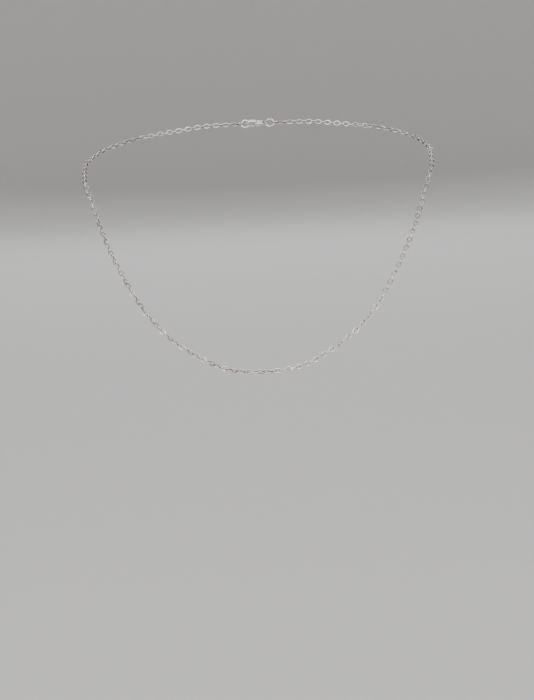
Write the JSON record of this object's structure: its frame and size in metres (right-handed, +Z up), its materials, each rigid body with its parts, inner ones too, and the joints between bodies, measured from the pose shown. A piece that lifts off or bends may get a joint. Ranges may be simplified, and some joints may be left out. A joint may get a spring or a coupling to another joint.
{
  "type": "chain necklace",
  "caption": "Fine flat oval cable chain necklace worn as a closed loop over the shoulders, with a lobster clasp at the nape.",
  "frame": {"origin": "midway between the two shoulders, level with where the chain crosses them", "axes": "+Z up, -Y to the wearer's front, +X to the right as seen from the front"},
  "size_m": [0.1542, 0.1326, 0.097],
  "materials": {
    "chain_steel": "polished",
    "ring_steel": "polished",
    "clasp_steel": "polished"
  },
  "bodies": {
    "shoulders": {"shoulder_left": "chain_steel", "shoulder_right": "chain_steel"},
    "front_1": {"front_1_left": "chain_steel", "front_1_right": "chain_steel"},
    "front_2": {"front_2_left": "chain_steel", "front_2_right": "chain_steel"},
    "front_3": {"front_3_left": "chain_steel", "front_3_right": "chain_steel"},
    "front_4": {"front_4_left": "chain_steel", "front_4_right": "chain_steel"},
    "front_5": {"front_5_left": "chain_steel", "front_5_right": "chain_steel"},
    "front_6": {"front_6_left": "chain_steel", "front_6_right": "chain_steel"},
    "front_7": {"front_7_left": "chain_steel", "front_7_right": "chain_steel"},
    "front_8": {"front_8_left": "chain_steel", "front_8_right": "chain_steel"},
    "front_9": {"front_9_left": "chain_steel", "front_9_right": "chain_steel"},
    "front_bottom": {"front_bottom": "chain_steel"},
    "back_1": {"back_1_left": "chain_steel", "back_1_right": "chain_steel"},
    "back_2": {"back_2_left": "chain_steel", "back_2_right": "chain_steel"},
    "back_3": {"back_3_left": "chain_steel", "back_3_right": "chain_steel"},
    "back_4": {"back_4_left": "chain_steel", "back_4_right": "chain_steel"},
    "back_5": {"back_5_left": "chain_steel", "back_5_right": "chain_steel"},
    "back_6": {"back_6_left": "chain_steel", "back_6_right": "chain_steel"},
    "back_7": {"back_7_left": "chain_steel", "back_7_right": "chain_steel"},
    "end_rings": {"end_ring": "ring_steel", "jump_ring": "ring_steel"},
    "clasp": {"clasp_body": "clasp_steel", "clasp_pin": "clasp_steel", "clasp_spring": "clasp_steel"},
    "clasp_lever": {"clasp_lever": "clasp_steel"}
  },
  "joints": [
    {"name": "front_1_swing", "type": "hinge", "parent": "shoulders", "child": "front_1", "pos_m": [0, -0.00805, -0.00312], "axis": [-1, 0, 0], "range_deg": [-20, 20]},
    {"name": "front_2_swing", "type": "hinge", "parent": "front_1", "child": "front_2", "pos_m": [0, -0.02041, -0.01138], "axis": [-1, 0, 0], "range_deg": [-20, 20]},
    {"name": "front_3_swing", "type": "hinge", "parent": "front_2", "child": "front_3", "pos_m": [0, -0.02979, -0.01985], "axis": [-1, 0, 0], "range_deg": [-20, 20]},
    {"name": "front_4_swing", "type": "hinge", "parent": "front_3", "child": "front_4", "pos_m": [0, -0.04051, -0.02987], "axis": [-1, 0, 0], "range_deg": [-20, 20]},
    {"name": "front_5_swing", "type": "hinge", "parent": "front_4", "child": "front_5", "pos_m": [0, -0.04968, -0.04075], "axis": [-1, 0, 0], "range_deg": [-20, 20]},
    {"name": "front_6_swing", "type": "hinge", "parent": "front_5", "child": "front_6", "pos_m": [0, -0.05656, -0.05032], "axis": [-1, 0, 0], "range_deg": [-20, 20]},
    {"name": "front_7_swing", "type": "hinge", "parent": "front_6", "child": "front_7", "pos_m": [0, -0.06398, -0.06097], "axis": [-1, 0, 0], "range_deg": [-20, 20]},
    {"name": "front_8_swing", "type": "hinge", "parent": "front_7", "child": "front_8", "pos_m": [0, -0.07056, -0.06983], "axis": [-1, 0, 0], "range_deg": [-20, 20]},
    {"name": "front_9_swing", "type": "hinge", "parent": "front_8", "child": "front_9", "pos_m": [0, -0.07665, -0.07537], "axis": [-1, 0, 0], "range_deg": [-20, 20]},
    {"name": "front_bottom_swing", "type": "hinge", "parent": "front_9", "child": "front_bottom", "pos_m": [0, -0.08494, -0.0786], "axis": [-1, 0, 0], "range_deg": [-20, 20]},
    {"name": "back_1_swing", "type": "hinge", "parent": "shoulders", "child": "back_1", "pos_m": [0, 0.00844, 0.00275], "axis": [-1, 0, 0], "range_deg": [-20, 20]},
    {"name": "back_2_swing", "type": "hinge", "parent": "back_1", "child": "back_2", "pos_m": [0, 0.0183, 0.00565], "axis": [-1, 0, 0], "range_deg": [-20, 20]},
    {"name": "back_3_swing", "type": "hinge", "parent": "back_2", "child": "back_3", "pos_m": [0, 0.02823, 0.00881], "axis": [-1, 0, 0], "range_deg": [-20, 20]},
    {"name": "back_4_swing", "type": "hinge", "parent": "back_3", "child": "back_4", "pos_m": [0, 0.03386, 0.01089], "axis": [-1, 0, 0], "range_deg": [-20, 20]},
    {"name": "back_5_swing", "type": "hinge", "parent": "back_4", "child": "back_5", "pos_m": [0, 0.0379, 0.01272], "axis": [-1, 0, 0], "range_deg": [-20, 20]},
    {"name": "back_6_swing", "type": "hinge", "parent": "back_5", "child": "back_6", "pos_m": [0, 0.04027, 0.01404], "axis": [-1, 0, 0], "range_deg": [-20, 20]},
    {"name": "back_7_swing", "type": "hinge", "parent": "back_6", "child": "back_7", "pos_m": [0, 0.04187, 0.01493], "axis": [-1, 0, 0], "range_deg": [-20, 20]},
    {"name": "end_rings_roll", "type": "hinge", "parent": "back_7", "child": "end_rings", "pos_m": [0, 0.042, 0.015], "axis": [-1, 0, 0], "range_deg": [-20, 20]},
    {"name": "clasp_roll", "type": "hinge", "parent": "end_rings", "child": "clasp", "pos_m": [0, 0.042, 0.015], "axis": [-1, 0, 0], "range_deg": [-20, 20]},
    {"name": "lever_press", "type": "hinge", "parent": "clasp", "child": "clasp_lever", "pos_m": [-0.00037, 0.04299, 0.01441], "axis": [0, 0.5101, 0.8601], "range_deg": [0, 38], "stiffness_Nm_per_rad": 0.002, "springref_deg": -17.19, "deforming": ["clasp_spring"]}
  ]
}
